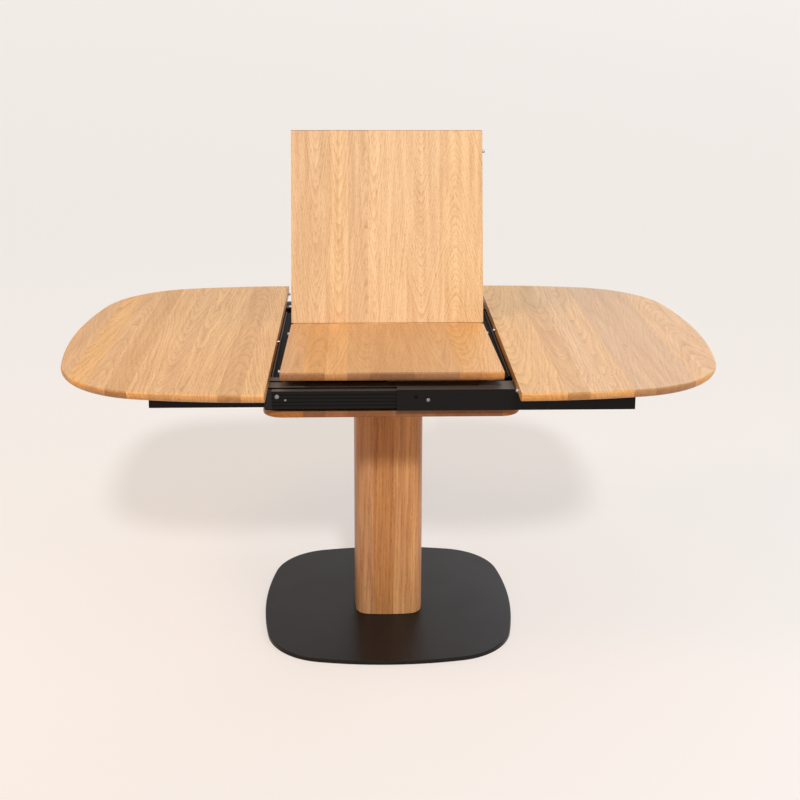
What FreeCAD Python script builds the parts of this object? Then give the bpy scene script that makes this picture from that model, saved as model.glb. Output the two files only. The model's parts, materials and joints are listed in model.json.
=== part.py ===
import FreeCAD, Part
import math
import os

# Extending pedestal table, top halves pulled apart, butterfly leaf half opened.
# X runs along the table, Y from the front to the back, Z up from the floor. Millimetres.

# Driving dimensions of the wood
TABLE_HEIGHT = 760.0
TOP_THICK = 22.0
TOP_HALF_LENGTH = 520.0
TOP_HALF_DEPTH = 515.0
TOP_SIDE_RADIUS = 1500.0
TOP_CORNER_RADIUS = 262.0
TOP_ROUND = 4.0
UNDER_ROUND = 17.0
LEAF_WIDTH = 509.0
COLUMN_HALF = 89.6
COLUMN_SIDE_RADIUS = 420.0
COLUMN_CORNER_RADIUS = 34.0
COLUMN_WALL = 41.6
COLUMN_EDGE = 1.0
BOARD_PAST_RAIL_END = 7.0
BOARD_PAST_RAIL_FACE = 9.0
BOARD_THICK = 16.0
BOARD_CORNER_RADIUS = 46.0
BOARD_ROUND = 3.0

# Driving dimensions of the base, rails and slides
BASE_HALF = 328.5
BASE_SIDE_RADIUS = 945.0
BASE_CORNER_RADIUS = 165.0
BASE_THICK = 10.0
BASE_EDGE = 1.5
RIM_TO_SLIDE = 100.0
RAIL_HEIGHT = 54.0
RAIL_DEPTH = 41.0
RAIL_WALL = 5.0
RAIL_PAST_TRACK = 3.0
SLIDE_WALL = 3.5
SLIDE_DEPTH = 26.0
SLIDE_HEIGHT = 50.0
SLIDE_INNER_X = 11.0
SLIDE_UNDER_TOP = 274.0
SLIDE_LIP = 4.0
STEM_HEIGHT = 11.0
GROOVE_WIDTH = 2.4
GROOVE_DEPTH = 1.6
GROOVES = 4
CAP_LENGTH = 17.0
CAP_ROUND = 2.5
NECK_HEIGHT = 8.0
ARM_WALL = 4.0
FLANGE_REACH = 22.0
TRACK_WIDTH = 26.0
TRACK_HEIGHT = 50.0
TRACK_WALL = 4.0
TRACK_END_GAP = 11.0
RIDGE_WIDTH = 5.0
RIDGE_HEIGHT = 3.0
RIDGE_ROUND = 2.0
RIDGE_FROM_OUTER = 8.5

# Pose of the photograph
SIDE_OPENING = 28.5
LEAF_TILT = 2.7
LEAF_LEAN = 13.6
HINGE_Y = 92.4

# Leaf hardware
PIVOT_FROM_FOLD = 70.0
PIVOT_DROP = 16.3
PIVOT_RADIUS = 4.0
PIVOT_HEAD_RADIUS = 6.4
SLIDER_LENGTH = 40.0
SLIDER_HEIGHT = 11.4
SLIDER_ROUND = 3.0
BRACKET_THICK = 3.0
BRACKET_LENGTH = 44.0
BRACKET_REACH = 34.0
BRACKET_INSET = 6.0
BRACKET_BELOW_PIVOT = 8.8
BRACKET_BEND = 4.0
KNUCKLE_RADIUS = 1.5
HINGE_PIN_RADIUS = 0.7
HINGE_PLATE = 1.0
HINGE_PLATE_DROP = 19.0
HINGE_INSET = 5.0
KNUCKLES = 9
FOLD_CHAMFER = 1.2
PAD_LENGTH = 52.0
PAD_INSET = 2.5

# Dowels and screws
DOWEL_RADIUS = 4.0
DOWEL_OUT = 7.0
DOWEL_IN = 18.0
DOWEL_TIP = 1.0
HALF_DOWEL_FROM_RIM = 57.0
HALF_DOWEL_FROM_FOLD = 51.0
LEAF_DOWEL_FROM_RIM = 56.0
LEAF_DOWEL_FROM_FOLD = 70.0
UPPER_DOWEL_FROM_FOLD = 46.0
COLUMN_SCREW_RADIUS = 3.0
COLUMN_SCREW_LENGTH = 55.0
RAIL_SCREW_RADIUS = 2.5
RAIL_SCREW_LENGTH = 18.0
RAIL_SCREW_FROM_END = 45.0
TRACK_SCREW_RADIUS = 2.5
TRACK_SCREW_LENGTH = 16.0
TRACK_SCREW_FROM_END = 45.0
SLIDE_SCREW_RADIUS = 1.7
SLIDE_SCREW_LENGTH = 16.0
SLIDE_SCREW_FROM_END = 30.0
BRACKET_SCREW_RADIUS = 1.9
BRACKET_SCREW_LENGTH = 15.0
BRACKET_SCREW_SPACING = 25.0
FACE_SCREW_FROM_END = 29.0
FACE_SCREW_RADIUS = 4.8
FACE_PIN_FROM_SCREW = 19.0
FACE_PIN_RADIUS = 2.4
STOP_SCREW_FROM_END = 71.0
STOP_SCREW_RADIUS = 4.2
SLOT_FROM_END = 43.0
SLOT_SIZE = 8.0

# Clearances
RUN_GAP = 0.6
FLAT_GAP = 0.3
HOLE_GAP = 0.15
MATE_GAP = 0.4
PIN_GAP = 0.05
PLATE_GAP = 0.4
OVER_RAIL = 2.0
LIP_GAP = 1.0
TRACK_CLEAR = 7.5

# Heights that follow
UNDER_TOP = TABLE_HEIGHT - TOP_THICK
EDGE_MID = UNDER_TOP + TOP_THICK / 2.0
RAIL_TOP = UNDER_TOP - OVER_RAIL
RAIL_BOTTOM = RAIL_TOP - RAIL_HEIGHT
BOARD_BOTTOM = RAIL_BOTTOM - BOARD_THICK
SLIDE_BOTTOM = UNDER_TOP - SLIDE_HEIGHT
HEAD_TOP = UNDER_TOP - SLIDE_WALL
HEAD_BOTTOM = SLIDE_BOTTOM + SLIDE_WALL + LIP_GAP
STEM_MID = (HEAD_TOP + HEAD_BOTTOM) / 2.0
STEM_LOW = STEM_MID - STEM_HEIGHT / 2.0
STEM_HIGH = STEM_MID + STEM_HEIGHT / 2.0
GROOVE_PITCH = (HEAD_TOP - HEAD_BOTTOM) / (GROOVES + 1)
TRACK_TOP = RAIL_BOTTOM + TRACK_HEIGHT
PIVOT_Z = UNDER_TOP + FLAT_GAP - PIVOT_DROP

# Places along the table that follow
HALF_LEAF = LEAF_WIDTH / 2.0
INNER_EDGE = HALF_LEAF + SIDE_OPENING
TRACK_INNER_X = HALF_LEAF + TRACK_CLEAR
TRACK_OUTER_X = TRACK_INNER_X + TRACK_WIDTH
RAIL_HALF_LENGTH = TRACK_OUTER_X + RAIL_PAST_TRACK
HEAD_HALF_LENGTH = RAIL_HALF_LENGTH - CAP_LENGTH
BOARD_HALF_LENGTH = RAIL_HALF_LENGTH + BOARD_PAST_RAIL_END
SLIDE_OUTER_X = INNER_EDGE + SLIDE_UNDER_TOP

# Places from the middle to the front or back that follow
SLIDE_FRONT_Y = TOP_HALF_DEPTH - RIM_TO_SLIDE
SLIDE_BACK_Y = SLIDE_FRONT_Y - SLIDE_DEPTH
RAIL_FACE_Y = SLIDE_BACK_Y - OVER_RAIL
RAIL_INNER_Y = RAIL_FACE_Y - RAIL_DEPTH
HEAD_FRONT_Y = SLIDE_FRONT_Y - SLIDE_WALL - RUN_GAP
HEAD_BACK_Y = SLIDE_BACK_Y + SLIDE_LIP + RUN_GAP
ARM_Y = RAIL_INNER_Y - 2.0 * OVER_RAIL
FLANGE_END_Y = ARM_Y - ARM_WALL - FLANGE_REACH
TRACK_HALF_LENGTH = FLANGE_END_Y - TRACK_END_GAP
BOARD_HALF_DEPTH = RAIL_FACE_Y + BOARD_PAST_RAIL_FACE
COLUMN_HOLLOW_HALF = COLUMN_HALF - COLUMN_WALL
COLUMN_SCREW_AT = COLUMN_HOLLOW_HALF + 0.45 * COLUMN_WALL
HALF_DOWEL_END = TOP_HALF_DEPTH - HALF_DOWEL_FROM_RIM
LEAF_DOWEL_END = TOP_HALF_DEPTH - LEAF_DOWEL_FROM_RIM

# The leaf when it lies flat, and the pivot that puts the tilted hinge line at HINGE_Y
EDGE_BACK = HINGE_PLATE + PLATE_GAP
LEAF_DEPTH = TOP_HALF_DEPTH - FLAT_GAP - EDGE_BACK
FLAT_TOP = TABLE_HEIGHT + FLAT_GAP
FLAT_UNDER = UNDER_TOP + FLAT_GAP
FLAT_MID = EDGE_MID + FLAT_GAP
FOLD_ABOVE_PIVOT = FLAT_TOP - PIVOT_Z
TILT = math.radians(LEAF_TILT)
PIVOT_Y = HINGE_Y - PIVOT_FROM_FOLD * math.cos(TILT) - FOLD_ABOVE_PIVOT * math.sin(TILT)
FOLD_REST = 90.0 - LEAF_LEAN + LEAF_TILT

V = FreeCAD.Vector
UP = V(0, 0, 1)
DOWN = V(0, 0, -1)
ALONG_X = V(1, 0, 0)
ALONG_Y = V(0, 1, 0)


def box(x0, x1, y0, y1, z0, z1):
    """A block between two corners, given in any order."""
    xs = sorted((x0, x1))
    ys = sorted((y0, y1))
    zs = sorted((z0, z1))
    return Part.makeBox(xs[1] - xs[0], ys[1] - ys[0], zs[1] - zs[0], V(xs[0], ys[0], zs[0]))


def section_along_x(outline, x0, x1):
    """An extruded section: outline is a list of (y, z) corners."""
    corners = [V(x0, y, z) for y, z in outline]
    return Part.Face(Part.makePolygon(corners + corners[:1])).extrude(V(x1 - x0, 0, 0))


def section_along_y(outline, y0, y1):
    """An extruded section: outline is a list of (x, z) corners."""
    corners = [V(x, y0, z) for x, z in outline]
    return Part.Face(Part.makePolygon(corners + corners[:1])).extrude(V(0, y1 - y0, 0))


def turned(shape):
    """The same shape turned half round about the table's upright axis."""
    copy = shape.copy()
    copy.rotate(V(0, 0, 0), UP, 180)
    return copy


def mirrored(shape):
    """The same shape on the other side of the table's middle plane x = 0."""
    return shape.mirror(V(0, 0, 0), ALONG_X)


def soft_square(half_x, half_y, side_radius, corner_radius, z):
    """A closed outline of four shallow side arcs that run smoothly into four corner arcs."""
    side_x = V(half_x - side_radius, 0, z)
    side_y = V(0, half_y - side_radius, z)
    reach = side_radius - corner_radius
    middle = (side_x + side_y) * 0.5
    apart = side_y - side_x
    rise = math.sqrt(reach ** 2 - (apart.Length / 2.0) ** 2)
    out = V(-apart.y, apart.x, 0).normalize()
    if out.x < 0:
        out = out * -1.0
    corner = middle + out * rise
    to_x = (corner - side_x).normalize()
    to_y = (corner - side_y).normalize()
    on_x = corner + to_x * corner_radius
    on_y = corner + to_y * corner_radius
    tip = corner + (to_x + to_y).normalize() * corner_radius

    def at(p, sx, sy):
        return V(p.x * sx, p.y * sy, z)

    apex_x = V(half_x, 0, z)
    apex_y = V(0, half_y, z)
    edges = []
    for sx, sy in ((1, 1), (-1, 1), (-1, -1), (1, -1)):
        edges.append(Part.Arc(at(on_x, sx, sy), at(tip, sx, sy), at(on_y, sx, sy)).toShape())
    for sx in (1, -1):
        edges.append(Part.Arc(at(on_x, sx, 1), at(apex_x, sx, 1), at(on_x, sx, -1)).toShape())
    for sy in (1, -1):
        edges.append(Part.Arc(at(on_y, 1, sy), at(apex_y, 1, sy), at(on_y, -1, sy)).toShape())
    return Part.Wire(Part.__sortEdges__(edges))


def prism(wire, height):
    """An upright solid on a closed outline."""
    return Part.Face(wire).extrude(V(0, 0, height))


def level_edges(shape, z):
    """Edges that lie wholly at one height."""
    found = []
    for edge in shape.Edges:
        ends = edge.BoundBox
        if abs(ends.ZMin - z) < 1e-4 and abs(ends.ZMax - z) < 1e-4:
            found.append(edge)
    return found


def drill(shape, radius, depth, start, direction):
    """The shape with a round hole bored into it."""
    return shape.cut(Part.makeCylinder(radius, depth, start, direction))


def flush_screw(radius, length, seat, direction):
    """A countersunk screw. Its flat head lies in the surface at seat and it points along direction."""
    head = Part.makeCone(2.0 * radius, radius, radius, seat, direction)
    return head.fuse(Part.makeCylinder(radius, length, seat, direction)).removeSplitter()


def flush_hole(shape, radius, length, seat, direction):
    """The shape with a countersunk hole for flush_screw, its cone seated on the head."""
    cone = Part.makeCone(2.0 * radius, radius, radius, seat, direction)
    bore = Part.makeCylinder(radius + HOLE_GAP, length + HOLE_GAP, seat, direction)
    return shape.cut(cone.fuse(bore))


# Base, column and board


def corner_places():
    """The four screw places round the column's hollow."""
    return [(sx * COLUMN_SCREW_AT, sy * COLUMN_SCREW_AT) for sx in (-1, 1) for sy in (-1, 1)]


def base_plate():
    outline = soft_square(BASE_HALF, BASE_HALF, BASE_SIDE_RADIUS, BASE_CORNER_RADIUS, 0)
    plate = prism(outline, BASE_THICK)
    plate = plate.makeChamfer(BASE_EDGE, level_edges(plate, BASE_THICK))
    for x, y in corner_places():
        plate = flush_hole(plate, COLUMN_SCREW_RADIUS, BASE_THICK, V(x, y, 0), UP)
    return plate


def column():
    """A hollow soft-square post of glued staves, eased at both ends."""
    outline = soft_square(COLUMN_HALF, COLUMN_HALF, COLUMN_SIDE_RADIUS, COLUMN_CORNER_RADIUS, BASE_THICK)
    post = prism(outline, BOARD_BOTTOM - BASE_THICK)
    ends = level_edges(post, BASE_THICK) + level_edges(post, BOARD_BOTTOM)
    post = post.makeChamfer(COLUMN_EDGE, ends)
    inner = COLUMN_HOLLOW_HALF
    post = post.cut(box(-inner, inner, -inner, inner, BASE_THICK, BOARD_BOTTOM))
    bore = COLUMN_SCREW_RADIUS + HOLE_GAP
    for x, y in corner_places():
        post = drill(post, bore, COLUMN_SCREW_LENGTH, V(x, y, BASE_THICK), UP)
        post = drill(post, bore, COLUMN_SCREW_LENGTH, V(x, y, BOARD_BOTTOM), DOWN)
    return post


def base_bolts():
    return Part.makeCompound([flush_screw(COLUMN_SCREW_RADIUS, COLUMN_SCREW_LENGTH, V(x, y, 0), UP)
                              for x, y in corner_places()])


def carrier_board():
    """The board that carries the rails: round corners, softened lower edge, screw holes."""
    x = BOARD_HALF_LENGTH
    y = BOARD_HALF_DEPTH
    board = box(-x, x, -y, y, BOARD_BOTTOM, RAIL_BOTTOM)
    upright = [e for e in board.Edges if e.BoundBox.ZLength > BOARD_THICK / 2.0]
    board = board.makeFillet(BOARD_CORNER_RADIUS, upright)
    board = board.makeFillet(BOARD_ROUND, level_edges(board, BOARD_BOTTOM))
    for px, py in corner_places():
        board = flush_hole(board, COLUMN_SCREW_RADIUS, BOARD_THICK, V(px, py, RAIL_BOTTOM), DOWN)
    for px, py in rail_screw_places():
        depth = RAIL_SCREW_LENGTH - RAIL_WALL + HOLE_GAP
        board = drill(board, RAIL_SCREW_RADIUS + HOLE_GAP, depth, V(px, py, RAIL_BOTTOM), DOWN)
    for px, py in track_screw_places():
        depth = TRACK_SCREW_LENGTH - TRACK_WALL + HOLE_GAP
        board = drill(board, TRACK_SCREW_RADIUS + HOLE_GAP, depth, V(px, py, RAIL_BOTTOM), DOWN)
    return board


def board_bolts():
    return Part.makeCompound([flush_screw(COLUMN_SCREW_RADIUS, COLUMN_SCREW_LENGTH, V(x, y, RAIL_BOTTOM), DOWN)
                              for x, y in corner_places()])


# Rails on the board: a channel open to the inside, with a grooved T track on its outer face


def rail_screw_places():
    """Places of the board screws in both rails, along the middle of each channel."""
    y = RAIL_INNER_Y + (RAIL_DEPTH - RAIL_WALL) / 2.0
    x = RAIL_HALF_LENGTH - RAIL_SCREW_FROM_END
    return [(sx * x, sy * y) for sx in (-1, 1) for sy in (-1, 1)]


def face_marks():
    """Place along X, height and radius of the bright screw and pin in the grooved face."""
    x = -RAIL_HALF_LENGTH + FACE_SCREW_FROM_END
    return [(x, HEAD_TOP - 1.5 * GROOVE_PITCH, FACE_SCREW_RADIUS),
            (x + FACE_PIN_FROM_SCREW, HEAD_TOP - 2.5 * GROOVE_PITCH, FACE_PIN_RADIUS)]


def grooved_face():
    """Corners down the grooved front face of the T track, from its top to its bottom."""
    corners = [(-HEAD_FRONT_Y, HEAD_TOP)]
    for k in range(GROOVES):
        z = HEAD_TOP - GROOVE_PITCH * (k + 1)
        high = z + GROOVE_WIDTH / 2.0
        low = z - GROOVE_WIDTH / 2.0
        floor = -HEAD_FRONT_Y + GROOVE_DEPTH
        corners += [(-HEAD_FRONT_Y, high), (floor, high), (floor, low), (-HEAD_FRONT_Y, low)]
    return corners + [(-HEAD_FRONT_Y, HEAD_BOTTOM)]


def rail_section():
    """The rail's section: flanges and web of the channel, then the stem and head of the T track."""
    low = RAIL_BOTTOM + RAIL_WALL
    high = RAIL_TOP - RAIL_WALL
    web = -RAIL_FACE_Y + RAIL_WALL
    outside = [(-RAIL_INNER_Y, RAIL_TOP), (-RAIL_FACE_Y, RAIL_TOP), (-RAIL_FACE_Y, STEM_HIGH),
               (-HEAD_BACK_Y, STEM_HIGH), (-HEAD_BACK_Y, HEAD_TOP)]
    under = [(-HEAD_BACK_Y, HEAD_BOTTOM), (-HEAD_BACK_Y, STEM_LOW), (-RAIL_FACE_Y, STEM_LOW),
             (-RAIL_FACE_Y, RAIL_BOTTOM), (-RAIL_INNER_Y, RAIL_BOTTOM)]
    inside = [(-RAIL_INNER_Y, low), (web, low), (web, high), (-RAIL_INNER_Y, high)]
    return outside + grooved_face() + under + inside


def head_block(x0, x1):
    """The space of the T track's head between two places along X."""
    return box(x0, x1, -HEAD_FRONT_Y, -HEAD_BACK_Y, HEAD_BOTTOM, HEAD_TOP)


def fixed_rail():
    """The front rail. The rear rail is the same piece turned half round."""
    rail = section_along_x(rail_section(), -RAIL_HALF_LENGTH, RAIL_HALF_LENGTH)
    for side in (-1, 1):
        rail = rail.cut(head_block(side * HEAD_HALF_LENGTH, side * RAIL_HALF_LENGTH))
    for x, z, radius in face_marks():
        rail = drill(rail, radius + HOLE_GAP, SLIDE_WALL, V(x, -HEAD_FRONT_Y, z), ALONG_Y)
    for x, y in rail_screw_places():
        if y < 0:
            rail = flush_hole(rail, RAIL_SCREW_RADIUS, RAIL_WALL, V(x, y, RAIL_BOTTOM + RAIL_WALL), DOWN)
    return rail


def rail_end_caps():
    """Plain ends of the T tracks, rounded at their free corner."""
    caps = []
    for side in (-1, 1):
        cap = head_block(side * HEAD_HALF_LENGTH, side * RAIL_HALF_LENGTH)
        corner = [e for e in cap.Edges if e.BoundBox.ZLength > CAP_LENGTH
                  and abs(abs(e.CenterOfMass.x) - RAIL_HALF_LENGTH) < 1e-4
                  and abs(e.CenterOfMass.y + HEAD_FRONT_Y) < 1e-4]
        cap = cap.makeFillet(CAP_ROUND, corner)
        caps += [cap, turned(cap)]
    return Part.makeCompound(caps)


def rail_face_screws():
    pieces = []
    for x, z, radius in face_marks():
        start = V(x, -HEAD_FRONT_Y - RUN_GAP / 2.0, z)
        screw = Part.makeCylinder(radius, SLIDE_WALL + RUN_GAP / 2.0, start, ALONG_Y)
        pieces += [screw, turned(screw)]
    return Part.makeCompound(pieces)


def rail_board_screws():
    seat_z = RAIL_BOTTOM + RAIL_WALL
    return Part.makeCompound([flush_screw(RAIL_SCREW_RADIUS, RAIL_SCREW_LENGTH, V(x, y, seat_z), DOWN)
                              for x, y in rail_screw_places()])


def leaf_rest_pads():
    """Thin pads on the rails, level with the underside of the top."""
    outer = HALF_LEAF - PAD_INSET
    pad = box(outer - PAD_LENGTH, outer, -RAIL_FACE_Y + PAD_INSET, -RAIL_INNER_Y - PAD_INSET, RAIL_TOP, UNDER_TOP)
    pads = []
    for shape in (pad, mirrored(pad)):
        pads += [shape, turned(shape)]
    return Part.makeCompound(pads)


# Bars between the rails, with the groove in which the leaf sliders run


def track_screw_places():
    """Places of the board screws in both bars."""
    x = (TRACK_INNER_X + TRACK_OUTER_X - TRACK_WALL) / 2.0
    y = TRACK_HALF_LENGTH - TRACK_SCREW_FROM_END
    return [(sx * x, sy * y) for sx in (-1, 1) for sy in (-1, 1)]


def track_section():
    """Section of the right-hand bar: foot, web, shelf under the groove, top flange with a ridge."""
    groove_top = PIVOT_Z + SLIDER_HEIGHT / 2.0 + FLAT_GAP
    groove_low = PIVOT_Z - SLIDER_HEIGHT / 2.0
    web = TRACK_OUTER_X - TRACK_WALL
    foot = RAIL_BOTTOM + TRACK_WALL
    ridge_in = TRACK_OUTER_X - RIDGE_FROM_OUTER - RIDGE_WIDTH / 2.0
    ridge_out = ridge_in + RIDGE_WIDTH
    ridge_top = TRACK_TOP + RIDGE_HEIGHT
    lower = [(TRACK_OUTER_X, RAIL_BOTTOM), (TRACK_INNER_X, RAIL_BOTTOM), (TRACK_INNER_X, foot), (web, foot)]
    shelf = [(web, groove_low - TRACK_WALL), (TRACK_INNER_X, groove_low - TRACK_WALL),
             (TRACK_INNER_X, groove_low), (web, groove_low)]
    upper = [(web, groove_top), (TRACK_INNER_X, groove_top), (TRACK_INNER_X, TRACK_TOP)]
    ridge = [(ridge_in, TRACK_TOP), (ridge_in, ridge_top), (ridge_out, ridge_top), (ridge_out, TRACK_TOP)]
    return lower + shelf + upper + ridge + [(TRACK_OUTER_X, TRACK_TOP)]


def leaf_track():
    """The right-hand bar, its ridge rounded on top."""
    bar = section_along_y(track_section(), -TRACK_HALF_LENGTH, TRACK_HALF_LENGTH)
    ridge = [e for e in level_edges(bar, TRACK_TOP + RIDGE_HEIGHT) if e.BoundBox.YLength > RIDGE_WIDTH]
    bar = bar.makeFillet(RIDGE_ROUND, ridge)
    for x, y in track_screw_places():
        if x > 0:
            bar = flush_hole(bar, TRACK_SCREW_RADIUS, TRACK_WALL, V(x, y, RAIL_BOTTOM + TRACK_WALL), DOWN)
    return bar


def track_screws():
    seat_z = RAIL_BOTTOM + TRACK_WALL
    return Part.makeCompound([flush_screw(TRACK_SCREW_RADIUS, TRACK_SCREW_LENGTH, V(x, y, seat_z), DOWN)
                              for x, y in track_screw_places()])


# Top halves with their slides


def slide_screw_xs():
    """Places of the top screws along a slide, all under the wood of the half."""
    return [INNER_EDGE + SLIDE_SCREW_FROM_END, SLIDE_OUTER_X - SLIDE_SCREW_FROM_END]


def outer_screw_y():
    """Line of screws in the top flange of an outer slide."""
    return -(SLIDE_FRONT_Y + SLIDE_BACK_Y) / 2.0


def inner_screw_y():
    """Line of screws in the flange of an inner slide."""
    return -(ARM_Y - ARM_WALL + FLANGE_END_Y) / 2.0


def outer_slide_section():
    """Section of the slide that wraps the T track: a channel whose two lips reach behind the head."""
    front = -SLIDE_FRONT_Y
    back = -SLIDE_BACK_Y
    lip = back - SLIDE_LIP
    floor = SLIDE_BOTTOM + SLIDE_WALL
    outside = [(back, UNDER_TOP), (front, UNDER_TOP), (front, SLIDE_BOTTOM), (back, SLIDE_BOTTOM)]
    lower_lip = [(back, STEM_LOW - LIP_GAP), (lip, STEM_LOW - LIP_GAP), (lip, floor)]
    inside = [(front + SLIDE_WALL, floor), (front + SLIDE_WALL, HEAD_TOP)]
    upper_lip = [(lip, HEAD_TOP), (lip, STEM_HIGH + LIP_GAP), (back, STEM_HIGH + LIP_GAP)]
    return outside + lower_lip + inside + upper_lip


def outer_slide():
    """The slide of the right half, in front, with its stop screw hole and a small square slot."""
    slide = section_along_x(outer_slide_section(), SLIDE_INNER_X, SLIDE_OUTER_X)
    front = -SLIDE_FRONT_Y
    slot = SLIDE_INNER_X + SLOT_FROM_END
    half = SLOT_SIZE / 2.0
    slide = slide.cut(box(slot - half, slot + half, front, front + SLIDE_WALL, STEM_MID + half, STEM_MID + 3.0 * half))
    stop = V(SLIDE_INNER_X + STOP_SCREW_FROM_END, front, STEM_MID)
    slide = drill(slide, STOP_SCREW_RADIUS + HOLE_GAP, SLIDE_WALL / 2.0, stop, ALONG_Y)
    for x in slide_screw_xs():
        slide = flush_hole(slide, SLIDE_SCREW_RADIUS, SLIDE_WALL, V(x, outer_screw_y(), HEAD_TOP), UP)
    return slide


def inner_slide():
    """The slide of the left half that runs inside the front rail, with an arm out to its flange."""
    front = -RAIL_FACE_Y + RAIL_WALL + RUN_GAP
    back = -RAIL_INNER_Y - OVER_RAIL
    low = RAIL_BOTTOM + RAIL_WALL
    high = RAIL_TOP - RAIL_WALL - RUN_GAP
    neck_low = STEM_MID - NECK_HEIGHT / 2.0
    neck_high = STEM_MID + NECK_HEIGHT / 2.0
    flange_low = UNDER_TOP - SLIDE_WALL
    outline = [(front, low), (front, high), (back, high), (back, neck_high), (-ARM_Y, neck_high),
               (-ARM_Y, UNDER_TOP), (-FLANGE_END_Y, UNDER_TOP), (-FLANGE_END_Y, flange_low),
               (-ARM_Y + ARM_WALL, flange_low), (-ARM_Y + ARM_WALL, neck_low), (back, neck_low), (back, low)]
    slide = section_along_x(outline, -SLIDE_OUTER_X, -SLIDE_INNER_X)
    hollow = box(-SLIDE_OUTER_X, -SLIDE_INNER_X, front + SLIDE_WALL, back - SLIDE_WALL,
                 low + SLIDE_WALL, high - SLIDE_WALL)
    slide = slide.cut(hollow)
    for x in slide_screw_xs():
        slide = flush_hole(slide, SLIDE_SCREW_RADIUS, SLIDE_WALL, V(-x, inner_screw_y(), flange_low), UP)
    return slide


def right_screw_seats():
    """Seats of the screws that hold the right half on its front and rear slides."""
    seats = []
    for x in slide_screw_xs():
        seats.append(V(x, outer_screw_y(), HEAD_TOP))
        seats.append(V(x, -inner_screw_y(), UNDER_TOP - SLIDE_WALL))
    return seats


def right_slide_screws():
    """Top screws of the right half, and the stop screw in the face of its outer slide."""
    pieces = [flush_screw(SLIDE_SCREW_RADIUS, SLIDE_SCREW_LENGTH, seat, UP) for seat in right_screw_seats()]
    stop = V(SLIDE_INNER_X + STOP_SCREW_FROM_END, -SLIDE_FRONT_Y - RUN_GAP, STEM_MID)
    pieces.append(Part.makeCylinder(STOP_SCREW_RADIUS, SLIDE_WALL / 2.0 + RUN_GAP, stop, ALONG_Y))
    return Part.makeCompound(pieces)


def right_top():
    """The right half: a soft square cut through its middle, its rim rounded far under."""
    outline = soft_square(TOP_HALF_LENGTH, TOP_HALF_DEPTH, TOP_SIDE_RADIUS, TOP_CORNER_RADIUS, UNDER_TOP)
    slab = prism(outline, TOP_THICK)
    slab = slab.makeFillet(UNDER_ROUND, level_edges(slab, UNDER_TOP))
    slab = slab.makeFillet(TOP_ROUND, level_edges(slab, TABLE_HEIGHT))
    reach = TOP_HALF_LENGTH + TOP_HALF_DEPTH
    half = slab.common(box(0, reach, -reach, reach, UNDER_TOP, TABLE_HEIGHT))
    half.translate(V(INNER_EDGE, 0, 0))
    depth = SLIDE_SCREW_LENGTH - SLIDE_WALL + HOLE_GAP
    for seat in right_screw_seats():
        half = drill(half, SLIDE_SCREW_RADIUS + HOLE_GAP, depth, V(seat.x, seat.y, UNDER_TOP), UP)
    return half


def edge_bores(shape, x, z, side, own, facing):
    """Dowel seats at the places in own, and clearance holes for the facing dowels, in an edge at x."""
    for y in own:
        shape = drill(shape, DOWEL_RADIUS + HOLE_GAP, DOWEL_IN, V(x, y, z), ALONG_X * side)
    for y in facing:
        shape = drill(shape, DOWEL_RADIUS + MATE_GAP, DOWEL_OUT + 2.0 * MATE_GAP, V(x, y, z), ALONG_X * side)
    return shape


def dowel(x, y, z, side):
    """A dowel seated in the edge at x, with a chamfered tip that stands out towards side."""
    rod = Part.makeCylinder(DOWEL_RADIUS, DOWEL_OUT + DOWEL_IN, V(x - side * DOWEL_IN, y, z), ALONG_X * side)
    tip = [e for e in rod.Edges if abs(e.CenterOfMass.x - (x + side * DOWEL_OUT)) < 1e-4]
    return rod.makeChamfer(DOWEL_TIP, tip)


def half_dowels():
    """Dowels of the right half: one near the front rim, one just behind the fold line."""
    return Part.makeCompound([dowel(INNER_EDGE, y, EDGE_MID, -1.0) for y in (-HALF_DOWEL_END, HALF_DOWEL_FROM_FOLD)])


# The leaf is drawn flat and level, fold line over y = 0, and then put into the pose of the photograph


def pose_lower(shape):
    """From flat and level to the tilted place on the sliders."""
    copy = shape.copy()
    copy.translate(V(0, PIVOT_Y + PIVOT_FROM_FOLD, 0))
    copy.rotate(V(0, PIVOT_Y, PIVOT_Z), ALONG_X, -LEAF_TILT)
    return copy


def pose_upper(shape):
    """Folded up about the hinge line, then placed with the lower leaf."""
    copy = shape.copy()
    copy.rotate(V(0, 0, FLAT_TOP), ALONG_X, FOLD_REST)
    return pose_lower(copy)


def leaf_panel():
    """One flat panel of the leaf behind the fold line, its far edge shaped like the rim of the top."""
    y0 = EDGE_BACK
    y1 = EDGE_BACK + LEAF_DEPTH
    panel = box(-HALF_LEAF, HALF_LEAF, y0, y1, FLAT_UNDER, FLAT_TOP)
    far_low = [e for e in level_edges(panel, FLAT_UNDER) if abs(e.BoundBox.YMin - y1) < 1e-4]
    panel = panel.makeFillet(UNDER_ROUND, far_low)
    far_top = [e for e in level_edges(panel, FLAT_TOP) if abs(e.BoundBox.YMin - y1) < 1e-4]
    panel = panel.makeFillet(TOP_ROUND, far_top)
    near_top = [e for e in level_edges(panel, FLAT_TOP) if abs(e.BoundBox.YMax - y0) < 1e-4]
    return panel.makeChamfer(FOLD_CHAMFER, near_top)


def flat_upper():
    """The rear panel with the bores of its side edges."""
    panel = edge_bores(leaf_panel(), HALF_LEAF, FLAT_MID, -1.0, [LEAF_DOWEL_END], [HALF_DOWEL_FROM_FOLD])
    return edge_bores(panel, -HALF_LEAF, FLAT_MID, 1.0, [UPPER_DOWEL_FROM_FOLD], [HALF_DOWEL_END])


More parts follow.
